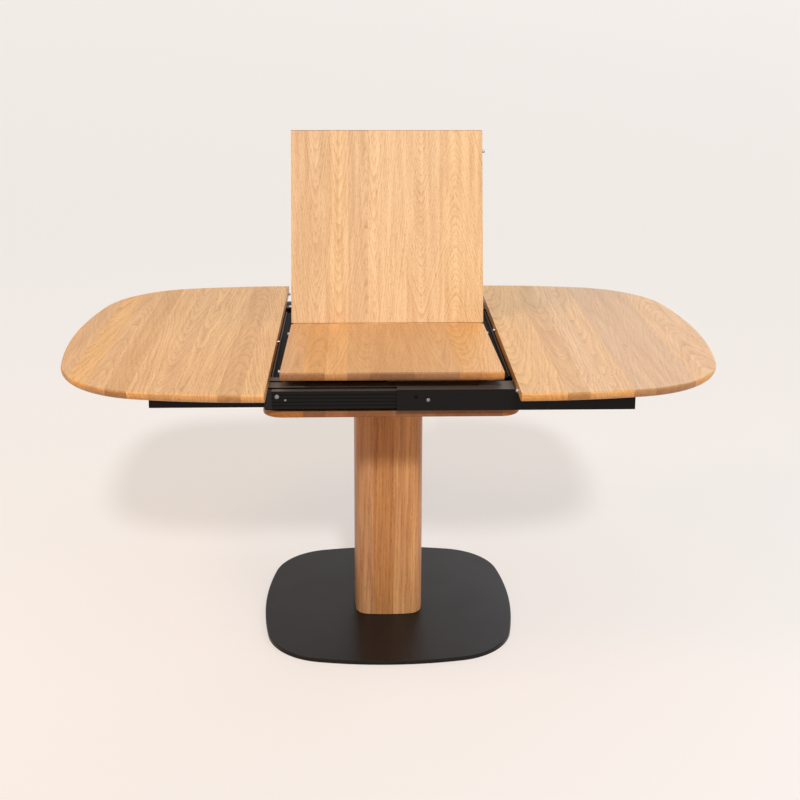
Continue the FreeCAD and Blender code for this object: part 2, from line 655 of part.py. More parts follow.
def flat_lower():
    """The front panel: the rear one turned over the fold line, with its own bores."""
    panel = turned(leaf_panel())
    panel = edge_bores(panel, HALF_LEAF, FLAT_MID, -1.0, [-LEAF_DOWEL_FROM_FOLD], [-HALF_DOWEL_END])
    panel = edge_bores(panel, -HALF_LEAF, FLAT_MID, 1.0, [-LEAF_DOWEL_END, -LEAF_DOWEL_FROM_FOLD],
                       [-HALF_DOWEL_FROM_FOLD])
    depth = BRACKET_SCREW_LENGTH - BRACKET_THICK + HOLE_GAP
    for seat in bracket_screw_seats():
        panel = drill(panel, BRACKET_SCREW_RADIUS + HOLE_GAP, depth, V(seat.x, seat.y, FLAT_UNDER), UP)
    return panel


def lower_leaf_dowels():
    """Two dowels in the left edge of the lower leaf and one in the right edge."""
    left = [dowel(-HALF_LEAF, -y, FLAT_MID, -1.0) for y in (LEAF_DOWEL_FROM_FOLD, LEAF_DOWEL_END)]
    return Part.makeCompound(left + [dowel(HALF_LEAF, -LEAF_DOWEL_FROM_FOLD, FLAT_MID, 1.0)])


def knuckle_spans(first):
    """Every second length of the hinge line, starting from the given one."""
    length = 2.0 * (HALF_LEAF - HINGE_INSET) / KNUCKLES
    start = -HALF_LEAF + HINGE_INSET
    return [(start + length * k + FLAT_GAP / 2.0, start + length * (k + 1) - FLAT_GAP / 2.0)
            for k in range(first, KNUCKLES, 2)]


def hinge_half(first):
    """Plate on the edge of the rear panel with its knuckles rolled round the fold line."""
    x = HALF_LEAF - HINGE_INSET
    top = FLAT_TOP - KNUCKLE_RADIUS - MATE_GAP
    half = box(-x, x, PLATE_GAP, EDGE_BACK, FLAT_TOP - HINGE_PLATE_DROP, top)
    for x0, x1 in knuckle_spans(first):
        root = box(x0, x1, PLATE_GAP, EDGE_BACK, top, FLAT_TOP - HINGE_PIN_RADIUS)
        barrel = Part.makeCylinder(KNUCKLE_RADIUS, x1 - x0, V(x0, 0, FLAT_TOP), ALONG_X)
        half = half.fuse([root, barrel])
    half = half.removeSplitter()
    return drill(half, HINGE_PIN_RADIUS + PIN_GAP, 2.0 * x, V(-x, 0, FLAT_TOP), ALONG_X)


def hinge_pin():
    x = HALF_LEAF - HINGE_INSET
    return Part.makeCylinder(HINGE_PIN_RADIUS, 2.0 * x, V(-x, 0, FLAT_TOP), ALONG_X)


def bracket_screw_seats():
    """Seats of the four screws that hold the two brackets under the lower leaf."""
    x = HALF_LEAF - BRACKET_INSET - BRACKET_THICK - BRACKET_REACH / 2.0
    ys = [-PIVOT_FROM_FOLD + k * BRACKET_SCREW_SPACING / 2.0 for k in (-1, 1)]
    return [V(side * x, y, FLAT_UNDER - BRACKET_THICK) for side in (-1, 1) for y in ys]


def leaf_bracket():
    """The right-hand bent angle under the lower leaf, with the bore for its pivot pin."""
    outer = HALF_LEAF - BRACKET_INSET
    web = outer - BRACKET_THICK
    end = web - BRACKET_REACH
    low = FLAT_UNDER - PIVOT_DROP - BRACKET_BELOW_PIVOT
    flange = FLAT_UNDER - BRACKET_THICK
    y0 = -PIVOT_FROM_FOLD - BRACKET_LENGTH / 2.0
    y1 = -PIVOT_FROM_FOLD + BRACKET_LENGTH / 2.0
    outline = [(outer, low), (outer, FLAT_UNDER), (end, FLAT_UNDER), (end, flange), (web, flange), (web, low)]
    bracket = section_along_y(outline, y0, y1)
    bend = [e for e in bracket.Edges if e.BoundBox.YLength > BRACKET_THICK
            and abs(e.CenterOfMass.x - outer) < 1e-4 and abs(e.CenterOfMass.z - FLAT_UNDER) < 1e-4]
    bracket = bracket.makeFillet(BRACKET_BEND, bend)
    ears = [e for e in level_edges(bracket, low) if e.BoundBox.XLength > BRACKET_THICK / 2.0]
    bracket = bracket.makeFillet(BRACKET_BELOW_PIVOT, ears)
    centre = V(web, -PIVOT_FROM_FOLD, FLAT_UNDER - PIVOT_DROP)
    bracket = drill(bracket, PIVOT_RADIUS + HOLE_GAP, BRACKET_THICK, centre, ALONG_X)
    for seat in bracket_screw_seats():
        if seat.x > 0:
            bracket = flush_hole(bracket, BRACKET_SCREW_RADIUS, BRACKET_THICK, seat, UP)
    return bracket


def pivot_pin():
    """The right-hand pin: a flat head inside the bracket, its end inside the slider."""
    inner = HALF_LEAF - BRACKET_INSET - BRACKET_THICK
    middle = V(inner, -PIVOT_FROM_FOLD, FLAT_UNDER - PIVOT_DROP)
    pin = Part.makeCylinder(PIVOT_RADIUS, TRACK_OUTER_X - TRACK_WALL - RUN_GAP - inner, middle, ALONG_X)
    head = Part.makeCylinder(PIVOT_HEAD_RADIUS, BRACKET_THICK, middle - ALONG_X * BRACKET_THICK, ALONG_X)
    return pin.fuse(head).removeSplitter()


def bracket_screws():
    return Part.makeCompound([flush_screw(BRACKET_SCREW_RADIUS, BRACKET_SCREW_LENGTH, seat, UP)
                              for seat in bracket_screw_seats()])


def leaf_slider():
    """The right-hand block in the groove of the bar, round at its ends and bored for the pivot pin."""
    half = SLIDER_LENGTH / 2.0
    x1 = TRACK_OUTER_X - TRACK_WALL - RUN_GAP
    block = box(TRACK_INNER_X, x1, PIVOT_Y - half, PIVOT_Y + half,
                PIVOT_Z - SLIDER_HEIGHT / 2.0, PIVOT_Z + SLIDER_HEIGHT / 2.0)
    ends = [e for e in block.Edges if e.BoundBox.XLength > SLIDER_ROUND]
    block = block.makeFillet(SLIDER_ROUND, ends)
    return drill(block, PIVOT_RADIUS + PIN_GAP, TRACK_WIDTH, V(TRACK_INNER_X, PIVOT_Y, PIVOT_Z), ALONG_X)


def both(shape):
    """A right-hand piece and its left-hand twin as two solids."""
    return Part.makeCompound([shape, mirrored(shape)])


def save(name, shape):
    shape.exportStep("parts/" + name + ".step")
    print(name, len(shape.Solids), "solid(s)", round(shape.Volume / 1000.0, 1), "cm3", shape.isValid())


os.makedirs("parts", exist_ok=True)

save("base_plate", base_plate())
save("column", column())
save("base_bolts", base_bolts())
save("carrier_board", carrier_board())
save("board_bolts", board_bolts())

save("front_rail", fixed_rail())
save("rear_rail", turned(fixed_rail()))
save("rail_end_caps", rail_end_caps())
save("rail_face_screws", rail_face_screws())
save("rail_board_screws", rail_board_screws())
save("leaf_rest_pads", leaf_rest_pads())
save("left_track", mirrored(leaf_track()))
save("right_track", leaf_track())
save("track_screws", track_screws())

# The dowels of the halves follow a half turn. The leaf dowels that face them differ from side to side.
half_blank = edge_bores(right_top(), INNER_EDGE, EDGE_MID, 1.0, [-HALF_DOWEL_END, HALF_DOWEL_FROM_FOLD],
                        [LEAF_DOWEL_END])
save("right_top", edge_bores(half_blank, INNER_EDGE, EDGE_MID, 1.0, [], [-LEAF_DOWEL_FROM_FOLD]))
save("left_top", turned(edge_bores(half_blank, INNER_EDGE, EDGE_MID, 1.0, [],
                                   [LEAF_DOWEL_FROM_FOLD, -UPPER_DOWEL_FROM_FOLD])))
save("right_outer_slide", outer_slide())
save("right_inner_slide", turned(inner_slide()))
save("right_slide_screws", right_slide_screws())
save("right_dowels", half_dowels())
save("left_outer_slide", turned(outer_slide()))
save("left_inner_slide", inner_slide())
save("left_slide_screws", turned(right_slide_screws()))
save("left_dowels", turned(half_dowels()))

save("leaf_sliders", both(leaf_slider()))
save("lower_leaf", pose_lower(flat_lower()))
save("lower_leaf_dowels", pose_lower(lower_leaf_dowels()))
save("leaf_brackets", pose_lower(both(leaf_bracket())))
save("leaf_bracket_pins", pose_lower(both(pivot_pin())))
save("leaf_bracket_screws", pose_lower(bracket_screws()))
save("lower_hinge", pose_lower(turned(hinge_half(0))))
save("hinge_pin", pose_lower(hinge_pin()))
save("upper_leaf", pose_upper(flat_upper()))
save("upper_leaf_dowel", pose_upper(dowel(HALF_LEAF, LEAF_DOWEL_END, FLAT_MID, 1.0)))
save("upper_leaf_fold_dowel", pose_upper(dowel(-HALF_LEAF, UPPER_DOWEL_FROM_FOLD, FLAT_MID, -1.0)))
save("upper_hinge", pose_upper(hinge_half(1)))
print("pivot", PIVOT_Y, PIVOT_Z, "fold rest", FOLD_REST)
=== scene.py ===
# %% [markdown]
# # An extending pedestal table, seen while its leaf is being unfolded
# The construction is already there: every piece stands at its real place and size.
# This lesson gives each piece the finish that it has on the real table, adds the few
# small fasteners that belong to the looks, and then lights and frames the table.

# %% Load the frame and keep its box
import json
import math

import bmesh
import bpy
from mathutils import Matrix, Vector


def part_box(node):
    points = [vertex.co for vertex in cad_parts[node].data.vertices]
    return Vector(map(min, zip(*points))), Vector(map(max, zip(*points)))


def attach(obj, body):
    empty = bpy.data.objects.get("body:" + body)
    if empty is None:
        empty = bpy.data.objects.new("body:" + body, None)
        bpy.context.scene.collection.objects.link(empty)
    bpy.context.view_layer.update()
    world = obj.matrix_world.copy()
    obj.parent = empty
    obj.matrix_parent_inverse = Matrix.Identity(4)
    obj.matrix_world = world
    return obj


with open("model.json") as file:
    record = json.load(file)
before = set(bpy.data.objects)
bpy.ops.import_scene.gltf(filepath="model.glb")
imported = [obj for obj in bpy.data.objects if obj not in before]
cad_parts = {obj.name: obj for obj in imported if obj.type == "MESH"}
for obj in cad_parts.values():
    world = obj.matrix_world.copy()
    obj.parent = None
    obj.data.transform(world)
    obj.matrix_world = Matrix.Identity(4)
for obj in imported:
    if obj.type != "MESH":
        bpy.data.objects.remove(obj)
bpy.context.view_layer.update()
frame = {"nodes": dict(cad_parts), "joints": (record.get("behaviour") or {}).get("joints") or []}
MM = 0.001

# %% [markdown]
# ## Helpers for materials
# Colours are written as sRGB hex values, as a paint chart gives them, but shaders work
# with linear light, so one function turns one into the other. Another adds a shader node
# with its settings and fills its inputs, which keeps the materials below short. The last
# two start a material and give it to the pieces that wear it.

# %% Colours and nodes


def hex_colour(code):
    """Linear RGBA of an sRGB hex colour such as #C89868."""
    channels = [int(code[k:k + 2], 16) / 255 for k in (1, 3, 5)]
    linear = [c / 12.92 if c <= 0.04045 else ((c + 0.055) / 1.055) ** 2.4 for c in channels]
    return (*linear, 1.0)


def feed(tree, node, inputs):
    """Fills a node's inputs: a socket is linked, and anything else is set as the value."""
    for key, value in inputs.items():
        if isinstance(value, bpy.types.NodeSocket):
            tree.links.new(value, node.inputs[key])
        else:
            node.inputs[key].default_value = value


def add_node(tree, kind, settings, inputs):
    """Adds a shader node with its settings, and fills its inputs."""
    node = tree.nodes.new("ShaderNode" + kind)
    for name, value in settings.items():
        setattr(node, name, value)
    feed(tree, node, inputs)
    return node


print("#808080 is", round(hex_colour("#808080")[0], 3), "in linear light")

# %% Materials and the pieces that wear them


def new_material(name):
    """A material with nodes, given back as the material, its tree and its main shader."""
    material = bpy.data.materials.new(name)
    material.use_nodes = True
    return material, material.node_tree, material.node_tree.nodes["Principled BSDF"]


def dress(material, *names):
    """Gives the material to the named pieces of the frame."""
    for name in names:
        slots = frame["nodes"][name].data.materials
        slots.clear()
        slots.append(material)
    print(material.name, "on", ", ".join(names))


# Noise seldom leaves this range, so gloss and tone are spread over it.
NOISE_LOW = 0.3
NOISE_HIGH = 0.7
print(len(frame["nodes"]), "pieces to dress")

# %% [markdown]
# ## Oiled oak
# The top, leaf, board and column are glued up from oak staves about 51 mm wide, some of
# them twice that. Each stave is its own plank, with its own tone and its own growth rings.
# A flat picture of wood would not turn the corner at an edge, so the grain is drawn as a
# solid: a ring is a distance from the heart of the tree, which lies somewhere beside or
# below the plank, and the surface cuts through the rings wherever it lies.
#
# The first part of the oak finds the stave: which plank a point lies in, where that plank's
# middle is, and a few numbers of chance that belong to the plank alone. White noise of a
# whole number is such a chance, because it never changes inside one plank.

# %% Stave of a point
STAVE_WIDTH = 50.9 * MM
SHARE_OF_WIDE_STAVES = 0.45
# Glue lines are thinner than 0.1 mm and are drawn 0.9 mm wide, so that they just show.
GLUE_LINE = 0.9 * MM
# These steps keep the chances of one panel apart from those of the next.
PAIR_STEP = 31.7
STAVE_STEP = 7.3


def stave_of(tree, place, number):
    """A point's place in its stave, the glue line there, and the stave's own chances."""
    x, y, z = add_node(tree, "SeparateXYZ", {}, {0: place}).outputs
    single = add_node(tree, "Math", {"operation": "DIVIDE"}, {0: x, 1: STAVE_WIDTH})
    single = add_node(tree, "Math", {"operation": "FLOOR"}, {0: single.outputs[0]}).outputs[0]
    pair = add_node(tree, "Math", {"operation": "DIVIDE"}, {0: x, 1: 2 * STAVE_WIDTH})
    pair = add_node(tree, "Math", {"operation": "FLOOR"}, {0: pair.outputs[0]}).outputs[0]
    pair_key = add_node(tree, "Math", {"operation": "ADD"}, {0: pair, 1: PAIR_STEP * number})
    luck = add_node(tree, "TexWhiteNoise", {"noise_dimensions": "1D"}, {"W": pair_key.outputs[0]})
    wide = add_node(tree, "Math", {"operation": "LESS_THAN"},
                    {0: luck.outputs["Value"], 1: SHARE_OF_WIDE_STAVES}).outputs[0]
    single_middle = add_node(tree, "Math", {"operation": "MULTIPLY_ADD"},
                             {0: single, 1: STAVE_WIDTH, 2: STAVE_WIDTH / 2})
    pair_middle = add_node(tree, "Math", {"operation": "MULTIPLY_ADD"},
                           {0: pair, 1: 2 * STAVE_WIDTH, 2: STAVE_WIDTH})
    middle = add_node(tree, "Mix", {"data_type": "FLOAT"},
                      {0: wide, 2: single_middle.outputs[0], 3: pair_middle.outputs[0]}).outputs[0]
    across = add_node(tree, "Math", {"operation": "SUBTRACT"}, {0: x, 1: middle}).outputs[0]

    half = add_node(tree, "MapRange", {}, {0: wide, 3: STAVE_WIDTH / 2, 4: STAVE_WIDTH})
    off_middle = add_node(tree, "Math", {"operation": "ABSOLUTE"}, {0: across})
    to_edge = add_node(tree, "Math", {"operation": "SUBTRACT"},
                       {0: half.outputs[0], 1: off_middle.outputs[0]})
    glue = add_node(tree, "MapRange", {}, {0: to_edge.outputs[0], 2: GLUE_LINE, 3: 1.0, 4: 0.0})

    key = add_node(tree, "Math", {"operation": "MULTIPLY_ADD"},
                   {0: middle, 1: 1 / STAVE_WIDTH, 2: STAVE_STEP * number})
    chances = add_node(tree, "TexWhiteNoise", {"noise_dimensions": "1D"}, {"W": key.outputs[0]})
    return {"across": across, "along": y, "depth": z, "glue": glue.outputs[0],
            "tone": chances.outputs["Value"], "chances": chances.outputs["Color"]}


print("staves of", round(STAVE_WIDTH / MM, 1), "and", round(2 * STAVE_WIDTH / MM, 1), "mm")

# %% [markdown]
# The second part draws the plank. A trunk tapers, so its rings are long cones, and a plank
# cuts them in the nested arches that joiners call cathedrals. Slow noise lets them wander.
# Planks sawn flat have their heart below them and show arches. Planks sawn to the quarter
# have it far to one side and show straight lines.

# %% Ways of sawing
# heart_below, heart_aside: how far the heart lies below the plank and to one side of it.
# taper: how fast the trunk narrows. ring: from one ring to the next. wander: how far rings stray.
# fray: how far vessels push the edge of a ring about. line, streak, vessel: how dark each is.
# calm: the share of the ring's darkness that is left in the darkest staves.
# Real rings are 2 to 3 mm apart. They are drawn wider, so that they show at picture size.
FLAT_SAWN = {
    "heart_below": 10 * MM, "heart_aside": 95 * MM, "taper": 0.26,
    "ring": 4.6 * MM, "wander": 8 * MM, "fray": 5 * MM,
    "line": 0.38, "calm": 1.0, "streak": 0.42, "vessel": 0.14}
WIDE_RINGED = {
    "heart_below": 26 * MM, "heart_aside": 80 * MM, "taper": 0.13,
    "ring": 6.8 * MM, "wander": 16 * MM, "fray": 4 * MM,
    "line": 0.44, "calm": 0.5, "streak": 0.38, "vessel": 0.12}
QUARTER_SAWN = {
    "heart_below": 30 * MM, "heart_aside": 260 * MM, "taper": 0.03,
    "ring": 8 * MM, "wander": 9 * MM, "fray": 5 * MM,
    "line": 0.34, "calm": 1.0, "streak": 0.56, "vessel": 0.05}
print("rings", round(FLAT_SAWN["ring"] / MM, 1), "to", round(QUARTER_SAWN["ring"] / MM, 1), "mm apart")

# %% Distance from the heart
HEART_SPREAD = (0.4, 1.6)
LEAST_TAPER = 0.3
# Rings stray in waves about 110 mm wide and 250 mm long, written here as waves per metre.
WANDER_WAVES = (9, 4, 9)


def heart_distance(tree, own, stave, sawn):
    """How far a point of a stave was from the heart of its tree, in metres."""
    chance = add_node(tree, "SeparateXYZ", {}, {0: stave["chances"]}).outputs
    nearest, farthest = [share * sawn["heart_below"] for share in HEART_SPREAD]
    below = add_node(tree, "MapRange", {}, {0: chance[1], 3: nearest, 4: farthest})
    sunk = add_node(tree, "Math", {"operation": "ADD"}, {0: stave["depth"], 1: below.outputs[0]})
    side = add_node(tree, "MapRange", {}, {0: chance[0], 3: -1.0, 4: 1.0}).outputs[0]
    far = add_node(tree, "Math", {"operation": "ABSOLUTE"}, {0: side})
    side = add_node(tree, "Math", {"operation": "MULTIPLY"}, {0: side, 1: far.outputs[0]})
    aside = add_node(tree, "Math", {"operation": "MULTIPLY_ADD"},
                     {0: side.outputs[0], 1: sawn["heart_aside"], 2: stave["across"]})
    arm = add_node(tree, "CombineXYZ", {}, {0: aside.outputs[0], 2: sunk.outputs[0]})
    radius = add_node(tree, "VectorMath", {"operation": "LENGTH"}, {0: arm.outputs[0]})

    spread = (1 - LEAST_TAPER) * sawn["taper"]
    taper = add_node(tree, "MapRange", {}, {0: chance[2], 3: -spread, 4: spread}).outputs[0]
    way = add_node(tree, "Math", {"operation": "SIGN"}, {0: taper})
    taper = add_node(tree, "Math", {"operation": "MULTIPLY_ADD"},
                     {0: way.outputs[0], 1: LEAST_TAPER * sawn["taper"], 2: taper})
    radius = add_node(tree, "Math", {"operation": "MULTIPLY_ADD"},
                      {0: stave["along"], 1: taper.outputs[0], 2: radius.outputs["Value"]})
    slow = add_node(tree, "VectorMath", {"operation": "MULTIPLY"}, {0: own, 1: WANDER_WAVES})
    wander = add_node(tree, "TexNoise", {},
                      {"Vector": slow.outputs[0], "Scale": 1, "Detail": 5, "Roughness": 0.6})
    return add_node(tree, "Math", {"operation": "MULTIPLY_ADD"},
                    {0: wander.outputs[0], 1: 2 * sawn["wander"], 2: radius.outputs[0]}).outputs[0]


print("the heart lies", [round(share * FLAT_SAWN["heart_below"] / MM) for share in HEART_SPREAD],
      "mm below a plank that is sawn flat")

# %% [markdown]
# Each ring starts with a sharp dark line of open vessels and fades into pale summer wood.
# The vessels are short dashes along the grain, and they fray the edges of the rings, which
# keeps the arches from looking drawn with a compass. Good and bad years change the spacing.

# %% Rings
# Darkness within a year, between its dark start at 0 and its pale end at 1.
RING_FADE = ((0.2, 0.75), (0.5, 0.18))
# Spells of good and bad weather last about 3 years and shift the rings by up to 2.4 of them.
SPELLS_PER_YEAR = 0.35
SPELL_SHIFT = 2.4


def rings_of(tree, radius, dash, sawn):
    """Darkness of the ring at a distance from the heart, from 0 to 1."""
    frayed = add_node(tree, "Math", {"operation": "MULTIPLY_ADD"}, {0: dash, 1: sawn["fray"], 2: radius})
    year = add_node(tree, "Math", {"operation": "DIVIDE"},
                    {0: frayed.outputs[0], 1: sawn["ring"]}).outputs[0]
    weather = add_node(tree, "TexNoise", {"noise_dimensions": "1D"},
                       {"W": year, "Scale": SPELLS_PER_YEAR, "Detail": 1})
    year = add_node(tree, "Math", {"operation": "MULTIPLY_ADD"},
                    {0: weather.outputs[0], 1: SPELL_SHIFT, 2: year})
    season = add_node(tree, "Math", {"operation": "FRACT"}, {0: year.outputs[0]})
    ring = add_node(tree, "ValToRGB", {}, {0: season.outputs[0]})
    ring.color_ramp.elements[0].color = (1, 1, 1, 1)
    ring.color_ramp.elements[1].color = (0, 0, 0, 1)
    for spot, shade in RING_FADE:
        ring.color_ramp.elements.new(spot).color = (shade, shade, shade, 1)
    return ring.outputs[0]


print("a ring fades over", len(RING_FADE) + 2, "tones")

# %% Grain of a stave
# Each stave takes its grain from another place in the noise, up to so many metres away.
PLANKS_APART = (7, 7, 7)
# A streak is a bundle of fibres that grew darker or paler than the wood beside it.
STREAK_SIZE = (14 * MM, 260 * MM, 14 * MM)
# Real vessels are 0.3 mm wide. They are drawn wider, so that they show at picture size.
VESSEL_SIZE = (1.8 * MM, 14 * MM, 1.8 * MM)
# The vessels' noise, where it starts and ends to break up a line and to open a pore.
BREAKS = (0.35, 0.65)
PORES = (0.54, 0.72)
BROKEN_LINE = 0.5
SUMMER_VESSELS = 0.3
GLUE_DARKNESS = 0.14


def grain_of(tree, place, stave, sawn):
    """Darkness of the grain and depth of the vessels, both from 0 to 1."""
    own = add_node(tree, "VectorMath", {"operation": "MULTIPLY_ADD"},
                   {0: stave["chances"], 1: PLANKS_APART, 2: place}).outputs[0]
    short = add_node(tree, "VectorMath", {"operation": "MULTIPLY"},
                     {0: own, 1: [1 / size for size in VESSEL_SIZE]})
    dash = add_node(tree, "TexNoise", {},
                    {"Vector": short.outputs[0], "Scale": 1, "Detail": 1}).outputs[0]
    ring = rings_of(tree, heart_distance(tree, own, stave, sawn), dash, sawn)
    broken = add_node(tree, "MapRange", {},
                      {0: dash, 1: BREAKS[0], 2: BREAKS[1], 3: BROKEN_LINE, 4: 1.0})
    line = add_node(tree, "Math", {"operation": "MULTIPLY"}, {0: ring, 1: broken.outputs[0]})
    pore = add_node(tree, "MapRange", {}, {0: dash, 1: PORES[0], 2: PORES[1]})
    early = add_node(tree, "MapRange", {}, {0: ring, 3: SUMMER_VESSELS, 4: 1.0})
    vessel = add_node(tree, "Math", {"operation": "MULTIPLY"},
                      {0: pore.outputs[0], 1: early.outputs[0]}).outputs[0]

    long = add_node(tree, "VectorMath", {"operation": "MULTIPLY"},
                    {0: own, 1: [1 / size for size in STREAK_SIZE]})
    streak = add_node(tree, "TexNoise", {},
                      {"Vector": long.outputs[0], "Scale": 1, "Detail": 4, "Roughness": 0.68})
    streak = add_node(tree, "MapRange", {}, {0: streak.outputs[0], 1: NOISE_LOW, 2: NOISE_HIGH})

    clear = add_node(tree, "MapRange", {},
                     {0: stave["tone"], 3: sawn["calm"] * sawn["line"], 4: sawn["line"]})
    dark = add_node(tree, "Math", {"operation": "MULTIPLY"}, {0: line.outputs[0], 1: clear.outputs[0]})
    for share, darkness in ((streak.outputs[0], sawn["streak"]), (vessel, sawn["vessel"])):
        dark = add_node(tree, "Math", {"operation": "MULTIPLY_ADD"},
                        {0: share, 1: darkness, 2: dark.outputs[0]})
    dark = add_node(tree, "Math", {"operation": "MULTIPLY_ADD", "use_clamp": True},
                    {0: stave["glue"], 1: GLUE_DARKNESS, 2: dark.outputs[0]})
    return dark.outputs[0], vessel


print("vessels of", [round(size / MM, 1) for size in VESSEL_SIZE], "mm")

# %% [markdown]
# Last, the tone and the finish. End grain drinks more oil and turns darker, and there the
# staves differ most. Hard-wax oil soaks in and leaves a thin satin film, so oak keeps a low
# sheen of about 0.45 roughness, a little duller in the open vessels, and a refractive index
# of 1.48 like other drying oils. One function makes the oak of every piece, because only the
# way that the staves run, the corner where they start, the sawing and the tone differ.

# %% Tone of a stave
# How squarely a surface has to look along the grain to be a little and fully end grain.
END_LOOK = (0.1, 0.8)
# How far the tone of the staves swings on their faces and on their ends.
FACE_SWING = 0.22
END_SWING = 0.85
STAVE_HUES = (0.499, 0.5045)
STAVE_SATURATIONS = (0.97, 1.06)


def stave_tone(tree, wood, look, along, stave, end_tone):
    """Colour of the wood with the stave's own tone, darker where it shows end grain."""
    facing = add_node(tree, "VectorMath", {"operation": "DOT_PRODUCT"}, {0: look, 1: along})
    facing = add_node(tree, "Math", {"operation": "ABSOLUTE"}, {0: facing.outputs["Value"]})
    end = add_node(tree, "MapRange", {"interpolation_type": "SMOOTHSTEP"},
                   {0: facing.outputs[0], 1: END_LOOK[0], 2: END_LOOK[1]}).outputs[0]
    wood = add_node(tree, "Mix", {"data_type": "RGBA", "blend_type": "MULTIPLY"},
                    {0: end, 6: wood, 7: end_tone}).outputs[2]

    chance = add_node(tree, "SeparateXYZ", {}, {0: stave["chances"]}).outputs
    swing = add_node(tree, "MapRange", {}, {0: end, 3: FACE_SWING, 4: END_SWING})
    value = add_node(tree, "Math", {"operation": "SUBTRACT"}, {0: stave["tone"], 1: 0.5})
    value = add_node(tree, "Math", {"operation": "MULTIPLY_ADD"},
                     {0: value.outputs[0], 1: swing.outputs[0], 2: 1.0})
    hue = add_node(tree, "MapRange", {}, {0: chance[0], 3: STAVE_HUES[0], 4: STAVE_HUES[1]})
    colour = add_node(tree, "MapRange", {},
                      {0: chance[1], 3: STAVE_SATURATIONS[0], 4: STAVE_SATURATIONS[1]})
    return add_node(tree, "HueSaturation", {},
                    {"Hue": hue.outputs[0], "Saturation": colour.outputs[0],
                     "Value": value.outputs[0], "Color": wood}).outputs[0]


print("staves differ by", FACE_SWING, "on faces and", END_SWING, "on ends")

# %% Oiled oak material
# Roughness of the oil film on closed wood and in open vessels.
OIL_ROUGHNESS = (0.43, 0.62)
OIL_IOR = 1.48
GRAIN_DEPTH = 0.25 * MM
GRAIN_RELIEF = 0.2
# A rounded corner belongs to the next side once it looks half way round to it.
HALF_ROUND = math.sqrt(0.5)


def oiled_oak(name, number, corner, across, along, sawn, tones, other_across=None):
    """Staved oak, sawn, sanded and oiled: satin, with fine brown lines on honey-coloured wood."""
    material, tree, shader = new_material(name)
    pale, dark, end_tone = [hex_colour(code) for code in tones]
    spot = add_node(tree, "TexCoord", {}, {})

    def laid(direction):
        turn = Matrix((direction, along, direction.cross(along)))
        return add_node(tree, "Mapping", {},
                        {"Vector": spot.outputs["Object"], "Rotation": turn.to_euler(),
                         "Location": -(turn @ corner)}).outputs[0]

    place = laid(across)
    if other_across:
        facing = add_node(tree, "VectorMath", {"operation": "DOT_PRODUCT"},
                          {0: spot.outputs["Normal"], 1: across})
        facing = add_node(tree, "Math", {"operation": "ABSOLUTE"}, {0: facing.outputs["Value"]})
        aside = add_node(tree, "Math", {"operation": "GREATER_THAN"},
                         {0: facing.outputs[0], 1: HALF_ROUND})
        place = add_node(tree, "Mix", {"data_type": "VECTOR"},
                         {0: aside.outputs[0], 4: place, 5: laid(other_across)}).outputs[1]
    stave = stave_of(tree, place, number)
    darkness, vessel = grain_of(tree, place, stave, sawn)
    wood = add_node(tree, "Mix", {"data_type": "RGBA"}, {0: darkness, 6: pale, 7: dark}).outputs[2]
    wood = stave_tone(tree, wood, spot.outputs["Normal"], along, stave, end_tone)
    dull = add_node(tree, "MapRange", {}, {0: vessel, 3: OIL_ROUGHNESS[0], 4: OIL_ROUGHNESS[1]})
    relief = add_node(tree, "Bump", {"invert": True},
                      {"Strength": GRAIN_RELIEF, "Distance": GRAIN_DEPTH, "Height": darkness})
    feed(tree, shader, {"Base Color": wood, "Roughness": dull.outputs[0],
                        "Normal": relief.outputs[0], "IOR": OIL_IOR})
    return material


print("oil film with a refractive index of", OIL_IOR)

# %% [markdown]
# The staves of the two halves and of both leaf panels run from front to back, so their end
# grain shows as light and dark blocks along the front edge. The leaf panels are tilted, so
# the direction of their staves is read from the panel itself: the largest flat face gives
# the way that the panel looks, and the staves lie square to that and to the fold.

# %% Oak of the top and the leaf
ALONG_TABLE = Vector((1, 0, 0))
TO_BACK = Vector((0, 1, 0))
UP = Vector((0, 0, 1))
# Pale wood, dark grain, and the tone that end grain is multiplied by. The top's tones are the oak's own,
# and the leaf panels' tones differ from them as painted light and shade.
TOP_OAK = ("#EEBF84", "#A86B33", "#F0DDCA")
# A little darker and more orange than the top: painted shade and warm bounce under the upper leaf.
LOWER_OAK_PAINTED_SHADE = ("#EDBA80", "#A96A30", "#CCB9AE")
# Paler and less saturated faces than the top's: painted light, where the upper leaf faces the front
# light.
UPPER_OAK_PAINTED_LIGHT = ("#EECB9D", "#AC7139", "#CDB7A6")


def panel_lie(name):
    """A corner of a leaf panel's largest face, the way that face looks, and the staves' run."""
    mesh = frame["nodes"][name].data
    broad = max(mesh.polygons, key=lambda face: face.area)
    run = broad.normal.cross(ALONG_TABLE).normalized()
    corner = Vector((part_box(name)[0].x, broad.center.y, broad.center.z))
    return corner, broad.normal.copy(), run if run.y + run.z > 0 else -run


right_corner = Vector((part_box("right_top")[0].x, 0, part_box("right_top")[1].z))
left_corner = Vector((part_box("left_top")[1].x, 0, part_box("left_top")[1].z))
lower_corner, lower_look, lower_run = panel_lie("lower_leaf")
upper_corner, upper_look, upper_run = panel_lie("upper_leaf")
dress(oiled_oak("oiled_oak_left_half", 2, left_corner, ALONG_TABLE, TO_BACK, WIDE_RINGED, TOP_OAK),
      "left_top")
dress(oiled_oak("oiled_oak_right_half", 21, right_corner, ALONG_TABLE, TO_BACK, WIDE_RINGED, TOP_OAK),
      "right_top")
dress(oiled_oak("oiled_oak_lower_leaf", 3, lower_corner, ALONG_TABLE, lower_run, WIDE_RINGED, LOWER_OAK_PAINTED_SHADE),
      "lower_leaf")
dress(oiled_oak("oiled_oak_upper_leaf", 4, upper_corner, ALONG_TABLE, upper_run, FLAT_SAWN, UPPER_OAK_PAINTED_LIGHT),
      "upper_leaf")
